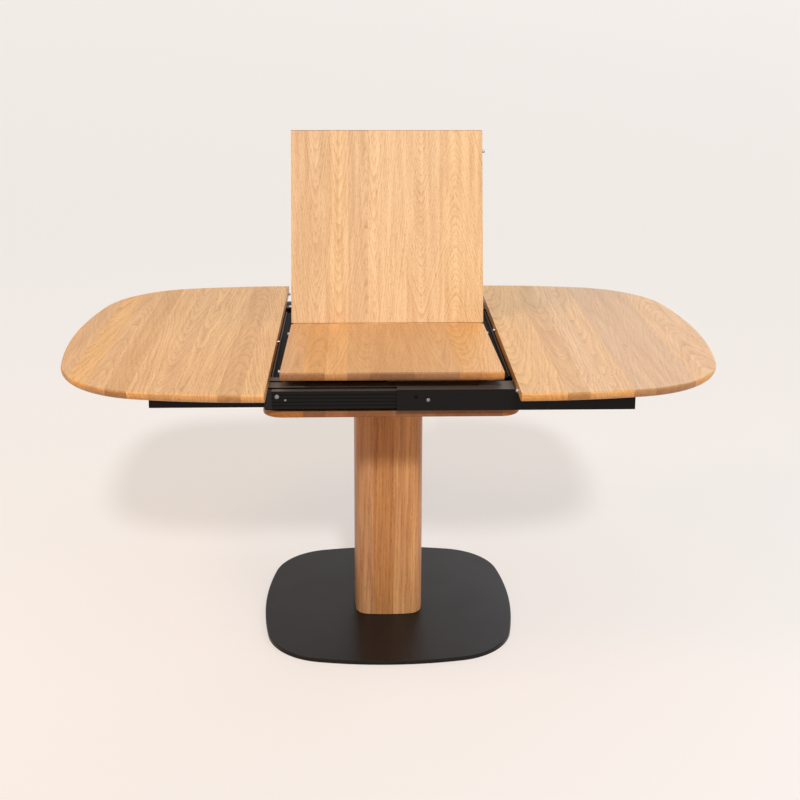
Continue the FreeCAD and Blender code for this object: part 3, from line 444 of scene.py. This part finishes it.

# %% [markdown]
# The column and the board under the rails get darker, more orange oak tones: painted shade under the
# top and a painted warm bounce from below. The board's staves run from front to back, as those of the
# top do. The column is sawn to the quarter, and its staves stand upright on all four sides, so they are
# counted along X where the surface looks to the front or back, and along Y where it looks to the left or
# right.

# %% Oak of the board and the column
# Darker and more orange than the top's oak: painted shade and painted warm bounce.
COLUMN_OAK_PAINTED_SHADE = ("#DEA069", "#94542D", "#C8B4A6")
column_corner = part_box("column")[0]
board_corner = Vector((0, 0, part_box("carrier_board")[0].z))
dress(oiled_oak("oiled_oak_board", 5, board_corner, ALONG_TABLE, TO_BACK, WIDE_RINGED, COLUMN_OAK_PAINTED_SHADE),
      "carrier_board")
dress(oiled_oak("oiled_oak_column", 6, column_corner, ALONG_TABLE, UP, QUARTER_SAWN, COLUMN_OAK_PAINTED_SHADE,
                other_across=TO_BACK), "column")

# %% [markdown]
# ## Black powder coat
# The base plate is sheet steel under black polyester powder. Baked powder flows out with
# a soft orange peel, so it shines more than matt paint and blurs what it mirrors. Bumps of
# real peel are about 1 mm wide and are drawn at 3 mm so that the render can hold them.
# Hands and cloths leave wide, faint patches of other gloss.

# %% Base plate
PEEL_WIDTH = 3 * MM
PEEL_DEPTH = 0.1 * MM
PEEL_RELIEF = 0.06
PATCH_WIDTH = 140 * MM
POWDER_ROUGHNESS = (0.3, 0.4)
POWDER_IOR = 1.5
POWDER_SHINE = 0.17


def powder_coat(name):
    """Black polyester powder on steel: satin black with a faint peel and blurred reflections."""
    material, tree, shader = new_material(name)
    spot = add_node(tree, "TexCoord", {}, {}).outputs["Object"]
    peel = add_node(tree, "TexNoise", {}, {"Vector": spot, "Scale": 1 / PEEL_WIDTH, "Detail": 1})
    patch = add_node(tree, "TexNoise", {}, {"Vector": spot, "Scale": 1 / PATCH_WIDTH, "Detail": 4})
    tone = add_node(tree, "Mix", {"data_type": "RGBA"},
                    {0: patch.outputs[0], 6: hex_colour("#15110F"), 7: hex_colour("#1D1815")})
    gloss = add_node(tree, "MapRange", {}, {0: patch.outputs[0], 1: NOISE_LOW, 2: NOISE_HIGH,
                                            3: POWDER_ROUGHNESS[0], 4: POWDER_ROUGHNESS[1]})
    relief = add_node(tree, "Bump", {}, {"Strength": PEEL_RELIEF, "Distance": PEEL_DEPTH,
                                         "Height": peel.outputs[0]})
    feed(tree, shader, {"Base Color": tone.outputs[2], "Roughness": gloss.outputs[0],
                        "Normal": relief.outputs[0], "IOR": POWDER_IOR,
                        "Specular IOR Level": POWDER_SHINE})
    return material


dress(powder_coat("powder_coated_steel"), "base_plate")

# %% [markdown]
# ## Black anodised aluminium
# Rails, slides and tracks are extruded: the die leaves hair lines along their whole length.
# Anodising then grows a clear oxide skin that is dyed black, so the eye sees a dark glaze and
# hardly any metal. On the upper faces the colour turns a dusty brown grey: partly wear, where
# wood and sliders rub the dye, and partly painted reflection of the bright surround. The lines are
# stretched noise along the bar, drawn wider than the real ones so that they show. The grey is found
# from the way that a surface looks and from its height, so that it stays on the tops of the bars.

# %% Rails, slides and tracks
LINE = 1 / (1.5 * MM)
RUN = 1 / (400 * MM)
# Wear and painted reflection start just under the tops of the tracks, and on faces that look upward.
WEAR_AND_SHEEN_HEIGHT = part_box("left_track")[1].z - 1.4 * MM
WEAR_AND_SHEEN_FADE = 0.4 * MM
WEAR_AND_SHEEN_LOOK = (0.5, 0.95)
LEAST_DUST_AND_SHEEN = 0.5
OXIDE_ROUGHNESS = (0.4, 0.52)
OXIDE_IOR = 1.6
LINE_DEPTH = 0.1 * MM
LINE_RELIEF = 0.08


def anodised(name, stretch, shine):
    """Extruded aluminium, anodised black: fine lines along the bar, and a grey on the upper faces that
    is partly wear and partly painted reflection.
    """
    material, tree, shader = new_material(name)
    spot = add_node(tree, "TexCoord", {}, {})
    drawn = add_node(tree, "VectorMath", {"operation": "MULTIPLY"},
                     {0: spot.outputs["Object"], 1: stretch})
    lines = add_node(tree, "TexNoise", {},
                     {"Vector": drawn.outputs[0], "Scale": 1, "Detail": 2}).outputs[0]
    skin = add_node(tree, "Mix", {"data_type": "RGBA"},
                    {0: lines, 6: hex_colour("#090707"), 7: hex_colour("#141110")})
    look = add_node(tree, "SeparateXYZ", {}, {0: spot.outputs["Normal"]})
    level = add_node(tree, "SeparateXYZ", {}, {0: spot.outputs["Object"]})
    above = add_node(tree, "MapRange", {},
                     {0: level.outputs[2], 1: WEAR_AND_SHEEN_HEIGHT - WEAR_AND_SHEEN_FADE, 2: WEAR_AND_SHEEN_HEIGHT})
    wear_and_sheen = add_node(tree, "MapRange", {}, {0: look.outputs[2], 1: WEAR_AND_SHEEN_LOOK[0], 2: WEAR_AND_SHEEN_LOOK[1]})
    wear_and_sheen = add_node(tree, "Math", {"operation": "MULTIPLY"}, {0: wear_and_sheen.outputs[0], 1: above.outputs[0]})
    dust_and_sheen = add_node(tree, "MapRange", {}, {0: lines, 1: NOISE_LOW, 2: NOISE_HIGH, 3: LEAST_DUST_AND_SHEEN, 4: 1.0})
    wear_and_sheen = add_node(tree, "Math", {"operation": "MULTIPLY"}, {0: wear_and_sheen.outputs[0], 1: dust_and_sheen.outputs[0]})
    # The dusty brown grey on the tops: partly wear, partly painted reflection of the bright surround.
    tone = add_node(tree, "Mix", {"data_type": "RGBA"},
                    {0: wear_and_sheen.outputs[0], 6: skin.outputs[2], 7: hex_colour("#716357")})
    gloss = add_node(tree, "MapRange", {}, {0: lines, 1: NOISE_LOW, 2: NOISE_HIGH,
                                            3: OXIDE_ROUGHNESS[0], 4: OXIDE_ROUGHNESS[1]})
    relief = add_node(tree, "Bump", {},
                      {"Strength": LINE_RELIEF, "Distance": LINE_DEPTH, "Height": lines})
    feed(tree, shader, {"Base Color": tone.outputs[2], "Roughness": gloss.outputs[0],
                        "Normal": relief.outputs[0], "IOR": OXIDE_IOR, "Specular IOR Level": shine})
    return material


dress(anodised("black_anodised_aluminium_along_table", (RUN, LINE, LINE), shine=0.12),
      "front_rail", "rear_rail", "left_outer_slide", "left_inner_slide", "right_outer_slide",
      "right_inner_slide")
dress(anodised("matt_anodised_aluminium_front_to_back", (LINE, RUN, LINE), shine=0.02),
      "left_track", "right_track")

# %% [markdown]
# ## Small metal
# Dowels and pins are zinc plated: a dull, slightly cloudy grey. The screws have a nickel
# plate, a little darker and warmer. The long hinge at the fold is drawn brass that has aged
# to the colour of the oak, so the fold hardly shows. The leaf's brackets are pressed from
# sheet steel and blackened. All of them are metal with a soft cloud of tone and gloss, so
# one function makes them.

# %% Zinc, nickel, brass and blackened steel


def cloudy_metal(name, light, dark, cloud, smooth, rough):
    """A plated, aged or oxidised metal: tone and gloss drift in soft clouds of the given size."""
    material, tree, shader = new_material(name)
    spot = add_node(tree, "TexCoord", {}, {}).outputs["Object"]
    drift = add_node(tree, "TexNoise", {},
                     {"Vector": spot, "Scale": 1 / cloud, "Detail": 3}).outputs[0]
    tone = add_node(tree, "Mix", {"data_type": "RGBA"},
                    {0: drift, 6: hex_colour(light), 7: hex_colour(dark)})
    gloss = add_node(tree, "MapRange", {},
                     {0: drift, 1: NOISE_LOW, 2: NOISE_HIGH, 3: smooth, 4: rough})
    feed(tree, shader, {"Base Color": tone.outputs[2], "Roughness": gloss.outputs[0], "Metallic": 1.0})
    return material


zinc = cloudy_metal("zinc_plated_steel", "#AFADAB", "#8A8988", cloud=6 * MM, smooth=0.36, rough=0.5)
dress(zinc, "left_dowels", "right_dowels", "lower_leaf_dowels", "upper_leaf_dowel",
      "upper_leaf_fold_dowel", "leaf_bracket_pins")
nickel = cloudy_metal("dull_nickel_plate", "#A09D99", "#7C7A77", cloud=6 * MM, smooth=0.36, rough=0.5)
dress(nickel, "base_bolts", "board_bolts", "rail_face_screws", "rail_board_screws", "track_screws",
      "left_slide_screws", "right_slide_screws", "leaf_bracket_screws")
brass = cloudy_metal("aged_drawn_brass", "#C79A63", "#A97C4C", cloud=15 * MM, smooth=0.34, rough=0.5)
dress(brass, "lower_hinge", "upper_hinge", "hinge_pin")
black = cloudy_metal("blackened_sheet_steel", "#3A3735", "#262423",
                     cloud=12 * MM, smooth=0.38, rough=0.55)
dress(black, "leaf_brackets")

# %% [markdown]
# ## Plastic
# The ends of the tracks and the leaf's sliders are moulded polyamide with a fine spark-eroded
# grain. The pads on the rails are the same plastic in grey. Grain of 0.4 mm is too fine for
# the picture and is drawn at 1.2 mm.

# %% Moulded polyamide
ERODED_GRAIN = 1.2 * MM
ERODED_DEPTH = 0.1 * MM
ERODED_RELIEF = 0.2
POLYAMIDE_ROUGHNESS = (0.5, 0.62)
POLYAMIDE_IOR = 1.53
POLYAMIDE_SHINE = 0.25


def moulded_polyamide(name, light, dark):
    """Moulded plastic: dull, with a fine even grain that breaks up its reflections."""
    material, tree, shader = new_material(name)
    spot = add_node(tree, "TexCoord", {}, {}).outputs["Object"]
    grain = add_node(tree, "TexNoise", {},
                     {"Vector": spot, "Scale": 1 / ERODED_GRAIN, "Detail": 2}).outputs[0]
    tone = add_node(tree, "Mix", {"data_type": "RGBA"},
                    {0: grain, 6: hex_colour(light), 7: hex_colour(dark)})
    dull = add_node(tree, "MapRange", {}, {0: grain, 1: NOISE_LOW, 2: NOISE_HIGH,
                                           3: POLYAMIDE_ROUGHNESS[0], 4: POLYAMIDE_ROUGHNESS[1]})
    relief = add_node(tree, "Bump", {},
                      {"Strength": ERODED_RELIEF, "Distance": ERODED_DEPTH, "Height": grain})
    feed(tree, shader, {"Base Color": tone.outputs[2], "Roughness": dull.outputs[0],
                        "Normal": relief.outputs[0], "IOR": POLYAMIDE_IOR,
                        "Specular IOR Level": POLYAMIDE_SHINE})
    return material


dress(moulded_polyamide("black_polyamide", "#171515", "#0E0D0D"), "rail_end_caps", "leaf_sliders")
dress(moulded_polyamide("grey_polyamide", "#6B645E", "#544E49"), "leaf_rest_pads")

# %% [markdown]
# ## Screw heads
# The frame's screws are plain shanks. The ones that can be seen get a real head: a low dome
# with a recess for the driver, a hexagon on the machine screws of the rails and slides, and
# a cross on the small wood screws of the hinge. A dome is a stack of rings around one middle,
# and the recess is only a ring that follows another outline, so one function draws both.

# %% Outlines of a driver recess
# Width of a cross recess's arms, where their length is 1.
CROSS_ARM = 0.36
SMALLEST_SINE = 1e-6


def hexagon(turn):
    """How far a hexagon with corners at 1 reaches at this angle."""
    return math.cos(math.pi / 6) / math.cos(turn % (math.pi / 3) - math.pi / 6)


def cross(turn):
    """How far a cross with arms of length 1 reaches at this angle."""
    off_arm = abs((turn + math.pi / 4) % (math.pi / 2) - math.pi / 4)
    return min(1 / math.cos(off_arm), CROSS_ARM / 2 / max(math.sin(off_arm), SMALLEST_SINE))


print("a hexagon's flats lie at", round(hexagon(math.pi / 6), 3), "and its corners at", hexagon(0))

# %% Heads with a recess
HEAD_POINTS = 48
# Rings from the floor of the recess to the rim of the head: the share of the radius, the
# share of the rise, and whether the ring follows the recess.
HEAD_RINGS = ((0.5, 0.35, True), (0.5, 1.0, True), (0.82, 0.8, False), (1.0, 0.3, False),
              (1.0, 0.0, False))


def screw_heads(name, places, outward, radius, rise, outline, body, finish):
    """Domed heads, one at each place, that look outward and have a recess of the given outline."""
    side = outward.orthogonal().normalized()
    top = outward.cross(side)
    shape = bmesh.new()
    for place in places:
        rings = []
        for reach, height, follow in HEAD_RINGS:
            ring = []
            for k in range(HEAD_POINTS):
                turn = 2 * math.pi * k / HEAD_POINTS
                far = radius * reach * (outline(turn) if follow else 1)
                spot = place + side * far * math.cos(turn) + top * far * math.sin(turn)
                ring.append(shape.verts.new(spot + outward * rise * height))
            rings.append(ring)
        for inner, outer in zip(rings, rings[1:]):
            for k in range(HEAD_POINTS):
                shape.faces.new((inner[k - 1], inner[k], outer[k], outer[k - 1]))
        shape.faces.new(rings[0])
        shape.faces.new(rings[-1])
    bmesh.ops.recalc_face_normals(shape, faces=shape.faces)
    mesh = bpy.data.meshes.new(name)
    shape.to_mesh(mesh)
    shape.free()
    mesh.materials.append(finish)
    piece = bpy.data.objects.new(name, mesh)
    bpy.context.scene.collection.objects.link(piece)
    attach(piece, body)
    print(name, "with", len(places), "heads on", body)


print("a head has", HEAD_POINTS * len(HEAD_RINGS), "points")

# %% [markdown]
# The heads go where the shanks are. A node can hold several screws, so it is split into
# its separate solids first: points that share an edge belong to one solid.

# %% Separate solids of a node
SAME_POINT = 0.001 * MM


def solids_of(node):
    """Lowest and highest corner of each separate solid of a node."""
    shape = bmesh.new()
    shape.from_mesh(frame["nodes"][node].data)
    bmesh.ops.remove_doubles(shape, verts=shape.verts, dist=SAME_POINT)
    left = set(shape.verts)
    boxes = []
    while left:
        group = {left.pop()}
        reached = list(group)
        while reached:
            point = reached.pop()
            near = {edge.other_vert(point) for edge in point.link_edges} & left
            left -= near
            group |= near
            reached += near
        corners = list(zip(*(point.co for point in group)))
        boxes.append((Vector(map(min, corners)), Vector(map(max, corners))))
    shape.free()
    return boxes


print("rail_face_screws is", len(solids_of("rail_face_screws")), "solids")

# %% Machine screws of the rails and slides
TO_FRONT = -TO_BACK
LEAST_WIDTH = 6 * MM


def crosswise_ends(node):
    """Outer ends of a node's wide, short solids that look to the front and to the back."""
    front, back = [], []
    for low, high in solids_of(node):
        size = high - low
        if 2 * size.y < size.x and size.x > LEAST_WIDTH:
            middle = (low + high) / 2
            if middle.y < 0:
                front.append(Vector((middle.x, low.y, middle.z)))
            else:
                back.append(Vector((middle.x, high.y, middle.z)))
    return front, back


# Node, name, radius and rise of the heads, and the body that they ride on.
HEADS = (("rail_face_screws", "rail_screw_head", 4.8 * MM, 0.5 * MM, "pedestal"),
         ("left_slide_screws", "left_stop_screw_head", 4.2 * MM, 1.6 * MM, "left_half"),
         ("right_slide_screws", "right_stop_screw_head", 4.2 * MM, 1.6 * MM, "right_half"))
for node, name, radius, rise, body in HEADS:
    front, back = crosswise_ends(node)
    for suffix, places, outward in (("_front", front, TO_FRONT), ("_back", back, TO_BACK)):
        if places:
            screw_heads(name + suffix, places, outward, radius, rise, hexagon, body, nickel)

# %% [markdown]
# The hinge is screwed to the two edges that meet at the fold. Its screws sit in a row down
# the middle of each plate and are sunk flush, because the plates close on each other when
# the leaf lies flat. Each row is laid out from the fold: a small step along the panel to
# the face of the plate, and some way down from the top of the panel.

# %% Hinge screws
HINGE_SCREWS = 8
HINGE_SCREW_DROP = 11 * MM
HINGE_SCREW_RADIUS = 3.2 * MM
HINGE_SCREW_RISE = 0.25 * MM
HINGE_FACE = 0.4 * MM
fold = next(Vector(joint["pos_m"]) for joint in frame["joints"] if joint["name"] == "leaf_fold")


def hinge_row(look, away):
    """Places down one hinge plate, on a panel that looks one way and runs away from the fold."""
    low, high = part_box("lower_hinge")
    first = fold + away * HINGE_FACE - look * HINGE_SCREW_DROP
    step = (high.x - low.x) / HINGE_SCREWS
    return [first + ALONG_TABLE * (low.x + step * (k + 0.5) - first.x) for k in range(HINGE_SCREWS)]


screw_heads("lower_hinge_screws", hinge_row(lower_look, -lower_run), lower_run,
            HINGE_SCREW_RADIUS, HINGE_SCREW_RISE, cross, "lower_leaf_body", brass)
screw_heads("upper_hinge_screws", hinge_row(upper_look, upper_run), -upper_run,
            HINGE_SCREW_RADIUS, HINGE_SCREW_RISE, cross, "upper_leaf_body", brass)

# %% [markdown]
# ## Floor, light and camera
# The table stands on a plain pale floor that is wide enough to fill the picture. The floor
# gets a little light of its own where the camera or a reflection sees it, which makes it
# paler without more light on the table, and it keeps the shadow. For all other rays it is
# a little browner, so the light that it throws back warms the faces in the shade.

# %% Floor
FLOOR_REACH = 150.0
FLOOR_CORNERS = 96
FLOOR_LIFT = 0.5
FLOOR_ROUGHNESS = 0.9


def seen_directly(tree):
    """1 where the camera or a reflection sees a surface, and 0 for all other rays."""
    path = add_node(tree, "LightPath", {}, {})
    return add_node(tree, "Math", {"operation": "MAXIMUM"},
                    {0: path.outputs["Is Camera Ray"], 1: path.outputs["Is Glossy Ray"]}).outputs[0]


floor_mesh = bpy.data.meshes.new("floor")
disc = bmesh.new()
bmesh.ops.create_circle(disc, cap_ends=True, segments=FLOOR_CORNERS, radius=FLOOR_REACH)
disc.to_mesh(floor_mesh)
disc.free()
floor = bpy.data.objects.new("floor", floor_mesh)
bpy.context.scene.collection.objects.link(floor)
paint, floor_tree, floor_shader = new_material("pale_floor_paint")
floor_seen = seen_directly(floor_tree)
floor_lift = add_node(floor_tree, "MapRange", {}, {0: floor_seen, 4: FLOOR_LIFT})
floor_tone = add_node(floor_tree, "Mix", {"data_type": "RGBA"},
                      {0: floor_seen, 6: hex_colour("#C9AE92"), 7: hex_colour("#B9B5B1")})
feed(floor_tree, floor_shader, {
    "Base Color": floor_tone.outputs[2], "Roughness": FLOOR_ROUGHNESS,
    "Emission Color": hex_colour("#F8F1EA"), "Emission Strength": floor_lift.outputs[0]})
floor_mesh.materials.append(paint)
print("floor across", 2 * FLOOR_REACH, "m")

# %% [markdown]
# Part of the light is a soft white surround, which looks brighter than it shines. A front
# light about 37 degrees up gives the shadow that the top throws on the column. Cool light
# comes from the right as from two windows, and a warm lamp stands high at the left.

# %% Surround
SURROUND = 0.4
SEEN_SURROUND = 0.88
world = bpy.data.worlds.new("soft_surround")
world.use_nodes = True
bpy.context.scene.world = world
level = add_node(world.node_tree, "MapRange", {},
                 {0: seen_directly(world.node_tree), 3: SURROUND, 4: SEEN_SURROUND})
feed(world.node_tree, world.node_tree.nodes["Background"],
     {"Color": hex_colour("#FBF8F5"), "Strength": level.outputs[0]})
print("surround", SURROUND, "and", SEEN_SURROUND, "where it is seen")

# %% Lamps


def distant_lamp(name, from_right, up, strength, colour, softness):
    """A distant lamp. from_right turns it from the front towards the right, in degrees."""
    lamp = bpy.data.lights.new(name, "SUN")
    lamp.energy = strength
    lamp.color = hex_colour(colour)[:3]
    lamp.angle = math.radians(softness)
    holder = bpy.data.objects.new(name, lamp)
    holder.rotation_euler = (math.radians(90 - up), 0, math.radians(from_right))
    bpy.context.scene.collection.objects.link(holder)


def soft_box(name, place, aim, power, colour, size):
    """A square soft lamp that stands at a place and looks at the table, all in metres."""
    lamp = bpy.data.lights.new(name, "AREA")
    lamp.energy = power
    lamp.color = hex_colour(colour)[:3]
    lamp.size = size
    holder = bpy.data.objects.new(name, lamp)
    holder.location = place
    holder.rotation_euler = (aim - place).to_track_quat("-Z", "Y").to_euler()
    bpy.context.scene.collection.objects.link(holder)


TABLE_MIDDLE = Vector((0, 0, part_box("left_top")[1].z))
distant_lamp("front_light", from_right=6, up=37, strength=1.7, colour="#F6FAFF", softness=6)
distant_lamp("far_window_light", from_right=152, up=18, strength=0.5, colour="#EAF0FF", softness=40)
soft_box("window_light", Vector((2.5, -1.3, 1.6)), TABLE_MIDDLE, power=19, colour="#E6EEFF", size=1.2)
soft_box("lamp_light", Vector((-2.0, -1.0, 3.0)), TABLE_MIDDLE, power=27, colour="#FFCB98", size=1.0)
print("lamps:", ", ".join(lamp.name for lamp in bpy.data.lights))

# %% [markdown]
# The camera's place, turn and lens were fitted to the photograph: points on the top, the
# leaf, the column and the base were marked in it, and the camera was moved until the same
# points of the frame landed on those marks.

# %% Camera
CAMERA_PLACE = Vector((-70.8, -3189.7, 1642.5)) * MM
TURN = math.radians(-1.805)
TILT_DOWN = math.radians(12.834)
ROLL = math.radians(0.205)
LENS = 57.61
SENSOR_WIDTH = 36
SHIFT_UP = -0.1587
camera = bpy.data.cameras.new("camera")
camera.lens = LENS
camera.sensor_width = SENSOR_WIDTH
camera.shift_y = SHIFT_UP
viewer = bpy.data.objects.new("camera", camera)
aim = Matrix.Rotation(TURN, 4, "Z") @ Matrix.Rotation(math.pi / 2 - TILT_DOWN, 4, "X")
viewer.matrix_world = Matrix.Translation(CAMERA_PLACE) @ aim @ Matrix.Rotation(ROLL, 4, "Z")
bpy.context.scene.collection.objects.link(viewer)
bpy.context.scene.camera = viewer
bpy.context.scene.view_settings.view_transform = "Standard"
print("camera", [round(value, 3) for value in viewer.location])
